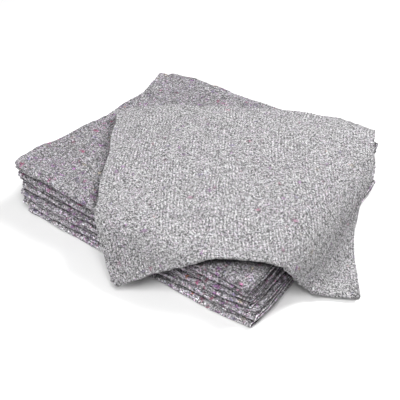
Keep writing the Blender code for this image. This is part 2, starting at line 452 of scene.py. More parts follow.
@dataclass(frozen=True)
class Layer:
    """One blanket of the stack, in millimetres, with corner values for left, front, right and back.

    Attributes:
        strays: how far each corner strays along X and Y from the plain rectangle.
        thick: folded thickness at each corner.
        bow: how far the -X edge is drawn in.
        slip: how far the +X edge strays at the free end, the two bends and the other free end.
        short: how far the two free ends stop short of the fold edges.
        free_end: where the free end at -Y comes.
        nose: how far its left corner is rounded off.
        steps: how finely its grid is divided.
        creases: soft troughs and ridges in its top face.
    """

    strays: tuple[tuple[float, float], ...]
    thick: Four
    bow: float
    slip: Four
    short: tuple[float, float]
    free_end: FreeEnd = FreeEnd.ABOVE
    nose: float = 0
    steps: Steps = COVERED
    creases: tuple[Crease, ...] = ()


TOP_CREASES = (
    Crease((205, -302), 0, 190, 56, -8),
    Crease((300, -230), 60, 90, 26, -2),
    Crease((-352, -240), 90, 100, 80, 6),
    Crease((-350, 165), 90, 200, 84, 8),
    Crease((-238, 305), 0, 200, 90, 9),
)

BELOW = FreeEnd.BELOW

# The columns are strays, thick, bow, slip, short and, where it isn't above, free_end.
LAYERS = (
    Layer(((-1, -4), (12, -15), (13, 4), (3, -1)), (23, 24, 24, 16), 1, (0, -2, 3, -7), (6, 12)),
    Layer(((-13, -6), (21, -8), (16, 5), (0, 0)), (28, 23, 24, 17), -2, (-4, 0, -9, -5), (10, 5)),
    Layer(((-12, -8), (4, -4), (7, 3), (1, -1)), (26, 21, 25, 18), 2, (3, -8, 0, 0), (4, 14)),
    Layer(((-14, -3), (0, -3), (6, 4), (-3, 2)), (28, 16, 25, 18), 3, (-6, 0, -3, -10), (8, 7)),
    Layer(((-18, -9), (0, -8), (5, 7), (-19, 10)), (23, 17, 25, 18), 48, (0, -5, -8, 2), (12, 9), BELOW),
    Layer(
        ((-59, -7), (2, -7), (9, 4), (37, -4)), (27, 24, 25, 17), 35, (-5, 0, -4, -9), (9, 16), BELOW,
        nose=34, steps=TOPMOST, creases=TOP_CREASES,
    ),
)


@dataclass(frozen=True)
class Pile:
    """The surfaces between the blankets of the stack, and how a blanket is laid between two of them.

    Attributes:
        layers: the blankets, from the ground up.
        crown: how far the middle of the top stands above its edges.
        gap: the space left between two blankets.
        wander: how far the surfaces between blankets rise and fall.
        wander_length: over what length.
        wander_turns: how far the rise and fall shifts along X and Y from one surface to the next.
        corner_round: how far the corners are drawn in.
        corner_sharpness: how near to the corner that happens.
        nose_sharpness: the same for a rounded off left corner.
        length: the folded length.
        width: the folded width.
    """

    layers: tuple[Layer, ...] = LAYERS
    crown: float = 0.022
    gap: float = 0.0020
    wander: float = 0.0012
    wander_length: float = 0.62
    wander_turns: tuple[float, float] = (1.9, 2.3)
    corner_round: float = 0.006
    corner_sharpness: int = 6
    nose_sharpness: int = 8
    length: float = FOLDED_LENGTH
    width: float = FOLDED_WIDTH

    @staticmethod
    def at_corners(across: Array, along: Array, values: tuple[float, ...]) -> Array:
        """Blends the left, front, right and back values over the rectangle.

        Args:
            across: share of the way along X.
            along: share of the way along Y.
            values: the four values.

        Returns:
            The blended values.
        """
        left, front, right, back = values
        near = left * (1 - across) + front * across
        far = back * (1 - across) + right * across
        return near * (1 - along) + far * along

    def dome(self, x: Array, y: Array) -> Array:
        """The product of two parabolas, 1 in the middle of the top and 0 at its edges."""
        return (1 - (2 * x / self.length) ** 2) * (1 - (2 * y / self.width) ** 2)

    def level(self, number: int, x: Array, y: Array) -> Array:
        """The height of the surface on top of a number of blankets; number 0 is the ground.

        It is the blend of the corner thicknesses below it, plus a share of the crown's dome, plus the
        product of two waves.

        Args:
            number: how many blankets lie below.
            x: places along X.
            y: places along Y.

        Returns:
            Heights.
        """
        if number == 0:
            return np.zeros_like(x)
        below = self.layers[:number]
        corners = tuple(sum(layer.thick[corner] for layer in below) * MM for corner in range(4))
        height = self.at_corners(x / self.length + 0.5, y / self.width + 0.5, corners)
        height = height + self.crown * self.dome(x, y) * number / len(self.layers)
        if number < len(self.layers):
            wave = 2 * math.pi / self.wander_length
            turn_x, turn_y = (number * turn for turn in self.wander_turns)
            height = height + self.wander * np.sin(wave * x + turn_x) * np.cos(wave * y - turn_y)
        return height

    def lay(self, grid: Array, cloth: FoldedCloth, number: int) -> Array:
        """Lays a flat blanket between two surfaces of the stack.

        The corners stray, the -X edge bows in by a parabola, the corners are drawn in, and the height
        within the blanket becomes a share of the way between the surfaces.

        Args:
            grid: the flat blanket.
            cloth: its fold.
            number: which blanket it is, from 0.

        Returns:
            The laid grid.
        """
        layer = self.layers[number]
        x, y, z = grid[..., 0], grid[..., 1], grid[..., 2]
        across, along = x / self.length + 0.5, y / self.width + 0.5
        drawn_in = self.corner_round * np.abs((2 * across - 1) * (2 * along - 1)) ** self.corner_sharpness
        bow = layer.bow * MM * (1 - across) * 4 * along * (1 - along)
        nose = layer.nose * MM * (1 - across) * (1 - along) ** self.nose_sharpness
        stray_x = self.at_corners(across, along, tuple(stray[0] * MM for stray in layer.strays))
        stray_y = self.at_corners(across, along, tuple(stray[1] * MM for stray in layer.strays))
        new_x = x + stray_x + bow + nose - np.sign(x) * drawn_in
        new_y = y + stray_y - np.sign(y) * drawn_in
        share = 0.5 + layer.free_end.value * z / cloth.height()
        bottom = self.level(number, new_x, new_y) + (self.gap if number else 0.0)
        top = self.level(number + 1, new_x, new_y) + sum(crease.at(x, y) for crease in layer.creases)
        return np.stack([new_x, new_y, bottom + share * (top - bottom)], axis=-1)


@dataclass(frozen=True)
class Bow:
    """How far an edge bows in at its middle, as a share of its size, and how lopsided that is."""

    depth: float
    lopsided: float

    def at(self, place: Array) -> Array:
        """Its depth at a place along the edge, from -0.5 to 0.5: a straight line."""
        return self.depth + self.lopsided * place


@dataclass(frozen=True)
class Dip:
    """A dip in an edge: how deep, and where and how wide as shares of the edge."""

    depth: float
    place: float
    width: float

    def at(self, across: Array) -> Array:
        """How deep it is along the edge, a Gaussian."""
        return self.depth * np.exp(-(((across - self.place) / self.width) ** 2))


@dataclass(frozen=True)
class Flap:
    """A stretch of cloth that hangs over one straight edge of the stack.

    Attributes:
        start: how far inside the edge the bend begins.
        slope: how steep the flap gets, in degrees.
        bend: the length of cloth over which it reaches its slope.
        flare: how its slope eases past that, in radians for each metre.
    """

    start: float
    slope: float
    bend: float
    flare: float = 0.0

    REACH = 0.45
    SAMPLES = 451

    def profile(self) -> Stretch:
        """The flap's section: the slope rises as a smooth step, and its cosine and sine are summed.

        Returns:
            The length of cloth past the bend's start, and how far out and down it gets.
        """
        length = np.linspace(0, self.REACH, self.SAMPLES)
        share = np.clip(length / self.bend, 0, 1)
        slope = math.radians(self.slope) * share**2 * (3 - 2 * share)
        slope = slope - self.flare * np.maximum(length - self.bend, 0)
        out, down = (
            np.concatenate([[0], np.cumsum((part[1:] + part[:-1]) / 2 * length[1])])
            for part in (np.cos(slope), np.sin(slope))
        )
        return length, out, down

    def hang(self, place: Array, edge: float, side: int) -> tuple[Array, Array]:
        """Bends the cloth over the edge.

        Args:
            place: places along the axis across the edge.
            edge: how far out the edge is.
            side: the way out, 1 or -1.

        Returns:
            The new places along that axis, and how far each point drops.
        """
        past = side * place - edge + self.start
        length, out, down = self.profile()
        bent = side * (edge - self.start + np.interp(past, length, out))
        return np.where(past > 0, bent, place), np.interp(past, length, down)


DRAPED_CREASES = (
    Crease((-222, -240), -33, 230, 80, -7),
    Crease((-5, -300), 0, 170, 70, 8),
    Crease((226, -196), 57, 250, 84, 10),
)


@dataclass(frozen=True)
class Drape:
    """How the blanket across the top lies.

    Attributes:
        pile: the stack under it.
        creases: soft troughs and ridges in its face, placed before it is turned.
        length: its folded length.
        width: its folded width.
        centre: where its middle lies.
        turn: how it is turned, in degrees.
        lift: how far its middle ply stands above the stack at the stack's edges.
        arch: how much further it stands in the middle.
        skew: how far it is skewed, as a share of its length.
        front, back, side, far_side: how its edges bow in.
        back_dip: a dip in its back edge.
        front_left, front_right, back_right: the flaps over the stack's edges.
        ground_rest: how high its middle ply lies where it rests on the ground.
        ground_softness: over what height it turns to lie there.
        normal_step: the share of a side over which its slope is measured.
    """

    pile: Pile
    creases: tuple[Crease, ...] = DRAPED_CREASES
    length: float = 0.7006
    width: float = 0.5846
    centre: tuple[float, float] = (0.1599, -0.0450)
    turn: float = 33.2
    lift: float = 0.0175
    arch: float = 0.012
    skew: float = 0.0072
    front: Bow = Bow(0.0582, -0.0333)
    back: Bow = Bow(0.0070, 0.0029)
    side: Bow = Bow(-0.0033, 0.0503)
    far_side: Bow = Bow(-0.0411, -0.0688)
    back_dip: Dip = Dip(0.022, 0.36, 0.13)
    front_left: Flap = Flap(0.0195, 62, 0.0752, -0.8)
    front_right: Flap = Flap(0.0225, 88.6, 0.1018, 11.5)
    back_right: Flap = Flap(0.0205, 46.6, 0.0434)
    ground_rest: float = 0.0109
    ground_softness: float = 0.0025
    normal_step: float = 0.002

    def middle(self, across: Array, along: Array) -> Array:
        """The blanket's middle surface.

        The rectangle's edges are bowed by parabolas and its corners drawn in, it is turned, bent over the
        three edges of the stack that it crosses, and lifted softly where its ends come to the ground.

        Args:
            across: share of the length, from -0.5 to 0.5.
            along: share of the width, from -0.5 to 0.5.

        Returns:
            Places, with X, Y and Z last.
        """
        pile = self.pile
        front = self.front.at(across) * (0.5 - along)
        back = self.back.at(across) * (0.5 + along)
        side = self.side.at(along) * (0.5 - across)
        far_side = self.far_side.at(along) * (0.5 + across)
        drawn_in = pile.corner_round * np.abs(4 * across * along) ** pile.corner_sharpness
        flat_x = (across + (1 - 4 * along**2) * (side + far_side) + self.skew * along) * self.length
        flat_y = (along + (1 - 4 * across**2) * (front + back)) * self.width
        flat_x = flat_x - np.sign(across) * drawn_in
        flat_y = flat_y - np.sign(along) * drawn_in - self.back_dip.at(across) * (0.5 + along) ** 2
        cosine, sine = math.cos(math.radians(self.turn)), math.sin(math.radians(self.turn))
        x = self.centre[0] + flat_x * cosine - flat_y * sine
        y = self.centre[1] + flat_x * sine + flat_y * cosine
        y, drop_front = self.front_left.hang(y, pile.width / 2, -1)
        y, drop_back = self.back_right.hang(y, pile.width / 2, 1)
        x, drop_right = self.front_right.hang(x, pile.length / 2, 1)
        over_x = np.clip(x, -pile.length / 2, pile.length / 2)
        over_y = np.clip(y, -pile.width / 2, pile.width / 2)
        top = pile.level(len(pile.layers), over_x, over_y)
        z = top + self.arch * pile.dome(over_x, over_y) + self.lift - drop_front - drop_back - drop_right
        rest, soft = self.ground_rest, self.ground_softness
        z = rest + soft * np.logaddexp(0, (z - rest) / soft)
        return np.stack([x, y, z], axis=-1)

    def lay(self, grid: Array) -> Array:
        """Lays a flat blanket on the middle surface: the surface plus its normal times the height.

        Args:
            grid: the flat blanket.

        Returns:
            The laid grid.
        """
        across, along, step = grid[..., 0] / self.length, grid[..., 1] / self.width, self.normal_step
        by_across = self.middle(across + step, along) - self.middle(across - step, along)
        by_along = self.middle(across, along + step) - self.middle(across, along - step)
        normal = np.cross(by_across, by_along)
        normal /= np.linalg.norm(normal, axis=-1, keepdims=True)
        height = grid[..., 2] + sum(crease.at(grid[..., 0], grid[..., 1]) for crease in self.creases)
        return self.middle(across, along) + normal * height[..., None]


@dataclass(frozen=True)
class Span:
    """How one value becomes another: the range that it is read over, and what the two ends become."""

    low: float
    high: float
    to_low: float = 0.0
    to_high: float = 1.0


def grey(level: float) -> Colour:
    """A grey of one level."""
    return (level, level, level)


class Wiring:
    """Adds shader nodes to one material and joins them."""

    def __init__(self, material: Material) -> None:
        """Starts with the material's own surface shader.

        Args:
            material: a material that uses nodes.
        """
        self.tree = material.node_tree
        self.surface = self.tree.nodes["Principled BSDF"]

    def add(self, kind: str, inputs: dict[str | int, Any] | None = None, **settings: Any) -> Node:
        """Adds a node.

        Args:
            kind: the node's type name.
            inputs: values or sockets, for each input by name or number.
            settings: the node's own settings.

        Returns:
            The node.
        """
        node = self.tree.nodes.new(kind)
        for name, value in settings.items():
            setattr(node, name, value)
        for key, value in (inputs or {}).items():
            self.put(node.inputs[key], value)
        return node

    def put(self, socket: Socket, value: Any) -> None:
        """Gives an input its value, or joins a socket to it.

        Args:
            socket: the input.
            value: a value or another node's output.
        """
        if isinstance(value, Socket):
            self.tree.links.new(value, socket)
        else:
            socket.default_value = value

    def sum(self, kind: str, first: Any, second: Any = 0.0, third: Any = 0.0) -> Socket:
        """A Math node's output.

        Args:
            kind: its operation.
            first: its first input.
            second: its second input.
            third: its third input.

        Returns:
            The result's socket.
        """
        return self.add("ShaderNodeMath", {0: first, 1: second, 2: third}, operation=kind).outputs[0]

    def between(self, value: Socket, span: Span) -> Socket:
        """Maps a value from one range to another, and keeps it inside.

        Args:
            value: the value.
            span: the two ranges.

        Returns:
            The result's socket.
        """
        inputs = {"From Min": span.low, "From Max": span.high, "To Min": span.to_low, "To Max": span.to_high}
        return self.add("ShaderNodeMapRange", {"Value": value, **inputs}).outputs["Result"]

    def noise(self, place: Socket, rate: float, detail: float, output: str = "Fac") -> Socket:
        """A smooth noise.

        Args:
            place: where it is read.
            rate: how many of its waves there are in a metre.
            detail: how many finer noises are added.
            output: Fac for one value, or Color for three.

        Returns:
            The noise's socket.
        """
        inputs = {"Vector": place, "Scale": rate, "Detail": detail}
        return self.add("ShaderNodeTexNoise", inputs).outputs[output]

    def stirred(self, place: Socket, stir: Socket, reach: Colour) -> Socket:
        """A place moved by a stir times its reach."""
        inputs = {0: stir, 1: reach, 2: place}
        return self.add("ShaderNodeVectorMath", inputs, operation="MULTIPLY_ADD").outputs[0]

    def on_cloth(self) -> Socket:
        """The place on the flat cloth, from the piece's own map."""
        return self.add("ShaderNodeUVMap", uv_map=CLOTH_MAP).outputs["UV"]

    def along_cloth(self, flat: Socket) -> Socket:
        """How far from its cut edge a place on the flat cloth is."""
        return self.add("ShaderNodeSeparateXYZ", {"Vector": flat}).outputs["X"]

    def parts(self, colour: Socket) -> tuple[Socket, ...]:
        """A colour's red, green and blue."""
        return tuple(self.add("ShaderNodeSeparateColor", {"Color": colour}).outputs)

    def mix(self, share: Any, first: Any, second: Any, kind: str = "MIX") -> Socket:
        """Mixes two colours.

        Args:
            share: how much of the second.
            first: the first colour.
            second: the second colour.
            kind: how they are blended.

        Returns:
            The result's socket.
        """
        node = self.add("ShaderNodeMix", data_type="RGBA", blend_type=kind)
        sockets = [socket for socket in node.inputs if socket.enabled]
        for socket, value in zip(sockets, (share, first, second)):
            self.put(socket, (*value, 1.0) if isinstance(value, tuple) else value)
        return next(socket for socket in node.outputs if socket.enabled)

    def times(self, first: Any, second: Any) -> Socket:
        """One colour times another."""
        return self.mix(1.0, first, second, "MULTIPLY")

    def toned(self, colour: Socket, level: Socket) -> Socket:
        """A colour times a grey of one level."""
        tone = self.add("ShaderNodeCombineColor", {"Red": level, "Green": level, "Blue": level})
        return self.times(colour, tone.outputs[0])

    def ramp(self, value: Socket, stops: Stops, steps: str = "LINEAR") -> Socket:
        """Turns a value into a colour.

        Args:
            value: the value, from 0 to 1.
            stops: each stop's place and colour.
            steps: how the colours run into each other.

        Returns:
            The colour's socket.
        """
        node = self.add("ShaderNodeValToRGB", {"Fac": value})
        band = node.color_ramp
        band.interpolation = steps
        while len(band.elements) < len(stops):
            band.elements.new(1.0)
        for element, (place, colour) in zip(band.elements, stops):
            element.position = place
            element.color = (*colour, 1.0)
        return node.outputs["Color"]


@dataclass(frozen=True)
class Ribs:
    """The fine ribs of a stitched felt.

    Attributes:
        pitch: from rib to rib.
        shade: how much darker the grooves and lighter the crests are painted, painted shade and light that
            follow the ribs' bump.
        rise: how high the ribs stand.
        stray: how far they wander over the whole range of a noise.
        stray_rate: how many turns their wandering takes in a metre.
        fade_rate: how many weak places there are in a metre.
        fading: the noise values over which they go from weak to full, and how weak they get.
    """

    pitch: float = 0.0078
    shade: float = 0.27
    rise: float = 0.0007
    stray: float = 0.0040
    stray_rate: float = 28.0
    fade_rate: float = 9.0
    fading: Span = Span(0.38, 0.62, 0.15)


@dataclass(frozen=True)
class Lint:
    """One kind of coloured lint, strewn over the flat cloth.

    Attributes:
        pitch: from bit to bit, along its own two ways.
        turn: the way that it runs, in radians.
        size: how much of its place a bit fills.
        fullness: how full its colour is.
    """

    pitch: tuple[float, float]
    turn: float
    size: float
    fullness: float


@dataclass(frozen=True)
class Felt:
    """Needled felt of recycled fibre: clumps, hairs, coloured lint and, on one kind, fine ribs.

    Attributes:
        name: the material's name.
        ground: its mean colour.
        tint_share: how far its tinted clumps differ from that.
        lint_share: the share of places for a bit of coloured lint that hold one.
        lint_strength: how full the lint's colours are.
        ribs: its ribs, if it has any.
        clump: the size of its clumps.
        contrast: how far the clumps differ.
        hair_length: the length of its hairs.
        hair_width: their width.
        bump: the height of its clumps and hairs.
        painted_shade_reach: how deep a crevice is that gets painted shade, the colour darkened by ambient
            occlusion within this reach.
        painted_shade_span: the shares of open air around a place between which the painted shade goes from
            dark to light.
        fold: how far along the flat cloth its half fold lies, with painted light and shade beside it, or 0
            for none.
        speck: the size of its dark specks.
        specked: how many places have one, as the noise value below which it shows.
    """

    name: str
    ground: Colour
    tint_share: float
    lint_share: float
    lint_strength: float
    ribs: Ribs | None = None
    clump: float = 0.0023
    contrast: float = 1.0
    hair_length: float = 0.007
    hair_width: float = 0.0012
    bump: float = 0.0014
    painted_shade_reach: float = 0.009
    painted_shade_span: tuple[float, float] = (0.25, 0.86)
    fold: float = 0.0
    speck: float = 0.0042
    specked: float = 0.405

    # The surface shader's values, with the roughness of the darkest and the lightest clumps.
    SPECULAR = 0.15
    SHEEN = 0.12
    SHEEN_ROUGHNESS = 0.6
    ROUGHNESS = Span(0.0, 1.0, 0.86, 0.98)

    # A ramp's colour ends at 1, so its shades are divided by this, and what they change is multiplied.
    HEADROOM = 4.0

    # How finely and how far the clumps' edges are stirred, in clumps, by a noise about its middle, and
    # the clumps' shades from the darkest to the lightest, as departures from the mean.
    STIR_RATE = 0.8
    STIR_REACH = 0.9
    STIR_MIDDLE = 0.5
    SHADES = ((0.0, -0.85), (0.12, -0.80), (0.20, -0.28), (0.50, 0.04), (0.80, 0.32), (1.0, 0.95))
    DARKEST_CLUMP = 0.03

    # The clumps' tints, divided by HEADROOM, and the patches in which they show: how many there are in
    # a metre, the noise values at their edge, and how much of the tint shows outside them.
    TINTS = (
        (0.00, (0.28, 0.16, 0.32)),
        (0.13, (0.31, 0.17, 0.26)),
        (0.26, (0.25, 0.215, 0.30)),
        (0.42, (0.25, 0.25, 0.25)),
        (0.78, (0.24, 0.25, 0.25)),
        (0.90, (0.21, 0.25, 0.30)),
        (1.00, (0.29, 0.25, 0.19)),
    )
    PATCH_RATE = 26.0
    PATCH_EDGE = (0.40, 0.66)
    LEAST_TINT = 0.3

    # The hairs' turns, the noise values that are a light or a dark hair, how strongly they show by how
    # many cross, their colours as parts of the mean colour, and their height as a part of a clump's.
    HAIR_TURNS = ((0.3, 0.5, 0.2), (0.4, -0.6, 1.3), (-0.5, 0.3, 2.4))
    LIGHT_HAIR = Span(0.58, 0.72)
    DARK_HAIR = Span(0.42, 0.28)
    LIGHT_HAIR_SHARE = Span(0.0, 1.5, 0.0, 0.6)
    DARK_HAIR_SHARE = Span(0.0, -1.4, 0.0, 0.85)
    LIGHT_HAIR_TONE = 2.2
    DARK_HAIR_TONE = 0.2
    HAIR_RISE = 0.5

    # The dark specks' soft edge in noise value, how strongly they show, and their colour as a part of
    # the mean colour.
    SPECK_EDGE = (0.01, -0.02)
    SPECK_SHARE = 0.85
    SPECK_TONE = 0.12

    # The lint's kinds and colours, how its bits are stirred, the clumps' brightness over which it gets
    # its full colour, and how much of it shows on the clumps darker than that.
    LINT = (
        Lint((0.028, 0.015), 0.7, 0.34, 1.0),
        Lint((0.015, 0.022), -0.5, 0.32, 1.0),
        Lint((0.012, 0.008), 2.0, 0.34, 0.7),
    )
    LINT_COLOURS = (
        (0.00, (0.17, 0.05, 0.19)),
        (0.22, (0.20, 0.05, 0.13)),
        (0.34, (0.17, 0.005, 0.055)),
        (0.48, (0.11, 0.085, 0.17)),
        (0.68, (0.11, 0.03, 0.13)),
        (0.80, (0.24, 0.20, 0.14)),
        (0.86, (0.30, 0.07, 0.02)),
        (0.89, (0.36, 0.36, 0.36)),
        (0.95, (0.01, 0.01, 0.012)),
    )
    LINT_STIR_RATE = 240.0
    LINT_STIR_REACH = (0.014, 0.014, 0.0)
    LINT_BREAK = (0.12, 0.50)
    LEAST_LINT = 0.15

    # Painted light and shade beside the half fold, a light line on the fold and darker cloth next to it,
    # from its middle to its reach and divided by HEADROOM, and the painted shade of the darkest crevices.
    PAINTED_FOLD_LIGHT_AND_SHADE = ((0.0, 0.43), (0.20, 0.36), (0.36, 0.11), (0.58, 0.10), (1.0, 0.25))
    PAINTED_FOLD_REACH = 0.006
    DARKEST_PAINTED_SHADE = 0.06
    PAINTED_SHADE_RAYS = 6

    def make(self) -> Material:
        """Builds the material.

        Returns:
            The material.
        """
        material = bpy.data.materials.new(self.name)
        material.use_nodes = True
        wiring = Wiring(material)
        place = wiring.add("ShaderNodeTexCoord").outputs["Object"]
        clumps, tint = self.clumps(wiring, place)
        hairs = self.hairs(wiring, place)
        colour = self.colour(wiring, place, clumps, tint, hairs)
        rise = wiring.sum("MULTIPLY_ADD", hairs, self.HAIR_RISE, clumps)
        if self.ribs:
            colour, rise = self.ribbed(wiring, self.ribs, colour, rise)
        bump = wiring.add("ShaderNodeBump", {"Height": rise, "Distance": self.bump})
        surface = {
            "Base Color": colour,
            "Normal": bump.outputs["Normal"],
            "Roughness": wiring.between(clumps, self.ROUGHNESS),
            "Specular IOR Level": self.SPECULAR,
            "Sheen Weight": self.SHEEN,
            "Sheen Roughness": self.SHEEN_ROUGHNESS,
        }
        for name, value in surface.items():
            wiring.put(wiring.surface.inputs[name], value)
        return material

    def ground_times(self, factor: float) -> Colour:
        """The mean colour, lighter or darker."""
        return tuple(factor * part for part in self.ground)

    def clumps(self, wiring: Wiring, place: Socket) -> tuple[Socket, Socket]:
        """Two values for each clump of fibre, from 0 to 1.

        Args:
            wiring: the material's nodes.
            place: where on the cloth.

        Returns:
            The sockets of its brightness and of its tint.
        """
        stir = wiring.noise(place, self.STIR_RATE / self.clump, detail=2.0, output="Color")
        off_middle = {0: stir, 1: grey(self.STIR_MIDDLE)}
        centred = wiring.add("ShaderNodeVectorMath", off_middle, operation="SUBTRACT").outputs[0]
        moved = wiring.stirred(place, centred, grey(self.STIR_REACH * self.clump))
        cells = wiring.add("ShaderNodeTexVoronoi", {"Vector": moved, "Scale": 1 / self.clump})
        return wiring.parts(cells.outputs["Color"])[:2]

    def hairs(self, wiring: Wiring, place: Socket) -> Socket:
        """Thin hairs in three directions: light ones above 0 and dark ones below.

        Args:
            wiring: the material's nodes.
            place: where on the cloth.

        Returns:
            The value's socket.
        """
        sizes = (1 / self.hair_length, 1 / self.hair_width, 1 / self.hair_width)
        total: Any = 0.0
        for turn in self.HAIR_TURNS:
            turned = wiring.add("ShaderNodeMapping", {"Vector": place, "Rotation": turn, "Scale": sizes})
            noise = wiring.noise(turned.outputs[0], rate=1.0, detail=1.0)
            light = wiring.between(noise, self.LIGHT_HAIR)
            dark = wiring.between(noise, self.DARK_HAIR)
            total = wiring.sum("ADD", total, wiring.sum("SUBTRACT", light, dark))
        return total

    def colour(self, wiring: Wiring, place: Socket, clumps: Socket, tint: Socket, hairs: Socket) -> Socket:
        """The felt's colour: clumps of many greys, some of which lean to another colour, hairs and lint,
        with painted light and shade by the half fold and painted shade in crevices.

        Args:
            wiring: the material's nodes.
            place: where on the cloth.
            clumps: each clump's brightness.
            tint: each clump's tint.
            hairs: the hairs' value.

        Returns:
            The colour's socket.
        """
        tinted = wiring.times(wiring.ramp(tint, self.TINTS), self.ground_times(self.HEADROOM))
        patch_shares = Span(*self.PATCH_EDGE, self.LEAST_TINT * self.tint_share, self.tint_share)
        patch = wiring.between(wiring.noise(place, self.PATCH_RATE, detail=3.0), patch_shares)
        base = wiring.mix(patch, self.ground, tinted)
        broken = wiring.between(clumps, Span(*self.LINT_BREAK, self.LEAST_LINT, self.lint_strength))
        for lint in self.LINT:
            base = self.strewn(wiring, lint, broken, base)
        levels = ((at, max(self.DARKEST_CLUMP, 1 + self.contrast * off)) for at, off in self.SHADES)
        shades = tuple((at, grey(level / self.HEADROOM)) for at, level in levels)
        base = self.shaded_by(wiring, base, clumps, shades)
        light = wiring.between(hairs, self.LIGHT_HAIR_SHARE)
        dark = wiring.between(hairs, self.DARK_HAIR_SHARE)
        base = wiring.mix(light, base, self.ground_times(self.LIGHT_HAIR_TONE))
        base = wiring.mix(dark, base, self.ground_times(self.DARK_HAIR_TONE))
        from_edge, to_edge = (self.specked + edge for edge in self.SPECK_EDGE)
        specks = wiring.noise(place, 1 / self.speck, detail=1.5)
        speck = wiring.between(specks, Span(from_edge, to_edge, 0.0, self.SPECK_SHARE))
        base = wiring.mix(speck, base, self.ground_times(self.SPECK_TONE))
        # Painted light and shade by the half fold: a light line along the fold's edge and darker cloth just
        # beside it.
        if self.fold:
            off = wiring.sum("SUBTRACT", wiring.along_cloth(wiring.on_cloth()), self.fold)
            off = wiring.between(wiring.sum("ABSOLUTE", off), Span(0.0, self.PAINTED_FOLD_REACH))
            base = self.shaded_by(wiring, base, off, tuple((at, grey(level)) for at, level in self.PAINTED_FOLD_LIGHT_AND_SHADE))
        # Painted shade: the colour is darkened where ambient occlusion finds the surface hemmed in, in
        # crevices and under overhangs.
        air = wiring.add("ShaderNodeAmbientOcclusion", {"Distance": self.painted_shade_reach}, samples=self.PAINTED_SHADE_RAYS)
        painted_shade = wiring.between(air.outputs["AO"], Span(*self.painted_shade_span, self.DARKEST_PAINTED_SHADE))
        return wiring.toned(base, painted_shade)

    def shaded_by(self, wiring: Wiring, base: Socket, value: Socket, stops: Stops) -> Socket:
        """A colour times HEADROOM and the shade that a ramp gives.

        Args:
            wiring: the material's nodes.
            base: the colour.
            value: the ramp's value.
            stops: the ramp's stops.

        Returns:
            The colour's socket.
        """
        return wiring.times(wiring.times(base, grey(self.HEADROOM)), wiring.ramp(value, stops))

    def strewn(self, wiring: Wiring, lint: Lint, broken: Socket, base: Socket) -> Socket:
        """Strews bits of coloured lint over the flat cloth.

        Args:
            wiring: the material's nodes.
            lint: which kind.
            broken: how full its colours are, clump by clump.
            base: the colour under it.

        Returns:
            The colour's socket.
        """
        flat = wiring.on_cloth()
        stir = wiring.noise(flat, self.LINT_STIR_RATE, detail=2.0, output="Color")
        moved = wiring.stirred(flat, stir, self.LINT_STIR_REACH)
        scale = (1 / lint.pitch[0], 1 / lint.pitch[1], 1.0)
        turning = {"Vector": moved, "Rotation": (0, 0, lint.turn), "Scale": scale}
        places = {"Vector": wiring.add("ShaderNodeMapping", turning).outputs[0], "Scale": 1.0}
        cells = wiring.add("ShaderNodeTexVoronoi", places, voronoi_dimensions="2D")
        _, chance, kind = wiring.parts(cells.outputs["Color"])
        near = wiring.between(cells.outputs["Distance"], Span(lint.size, lint.size / 2, 0.0, lint.fullness))
        there = wiring.sum("LESS_THAN", chance, self.lint_share)
        share = wiring.sum("MULTIPLY", wiring.sum("MULTIPLY", near, there), broken)
        return wiring.mix(share, base, wiring.ramp(kind, self.LINT_COLOURS, "CONSTANT"))

    def ribbed(self, wiring: Wiring, ribs: Ribs, colour: Socket, rise: Socket) -> tuple[Socket, Socket]:
        """Adds fine ribs across the cloth's width: a sine of the place along it.

        Args:
            wiring: the material's nodes.
            ribs: their sizes.
            colour: the colour without ribs.
            rise: the height without ribs, as a share of the bump's height.

        Returns:
            The colour and the height with ribs.
        """
        flat = wiring.on_cloth()
        stir = wiring.noise(flat, ribs.stray_rate, detail=2.0)
        strayed = wiring.sum("MULTIPLY_ADD", stir, ribs.stray, wiring.along_cloth(flat))
        wave = wiring.sum("SINE", wiring.sum("MULTIPLY", strayed, 2 * math.pi / ribs.pitch))
        strength = wiring.between(wiring.noise(flat, ribs.fade_rate, detail=1.0), ribs.fading)
        wave = wiring.sum("MULTIPLY", wave, strength)
        # Painted shade in the grooves and painted light on the crests, from the same wave as the ribs' bump.
        shade = wiring.between(wave, Span(-1.0, 1.0, 1 - ribs.shade, 1 + ribs.shade))
        risen = wiring.sum("MULTIPLY_ADD", wave, ribs.rise / self.bump / 2, rise)
        return wiring.toned(colour, shade), risen


# The mean colours of the stack's blankets, from the ground up: the felt's own grey, made lighter the lower a
# blanket lies, painted light that makes up for the shade near the floor.
STACK_TONES_WITH_PAINTED_LIGHT = (
    (0.400, 0.394, 0.401),
    (0.330, 0.323, 0.333),
    (0.288, 0.281, 0.291),
    (0.278, 0.271, 0.281),
    (0.258, 0.252, 0.261),
    (0.206, 0.204, 0.208),
)
COVERED_FELT = Felt(
    "covered_felt",
    STACK_TONES_WITH_PAINTED_LIGHT[0],
    tint_share=0.9,
    lint_share=0.19,
    lint_strength=0.95,
    contrast=2.5,
    painted_shade_reach=0.008,
    fold=HALF_FOLD,
    specked=0.42,
)
# The topmost blanket gets deeper and darker painted shade, which paints the shadow beside and under the
# draped blanket's edges.
TOPMOST_FELT = replace(COVERED_FELT, lint_share=0.11, painted_shade_reach=0.024, painted_shade_span=(0.46, 0.86))
DRAPED_FELT = Felt(
    "draped_blanket_felt",
    (0.278, 0.277, 0.279),
    tint_share=0.4,
    lint_share=0.03,
    lint_strength=0.75,
    ribs=Ribs(),
    clump=0.0021,
    contrast=1.55,
    hair_length=0.005,
)


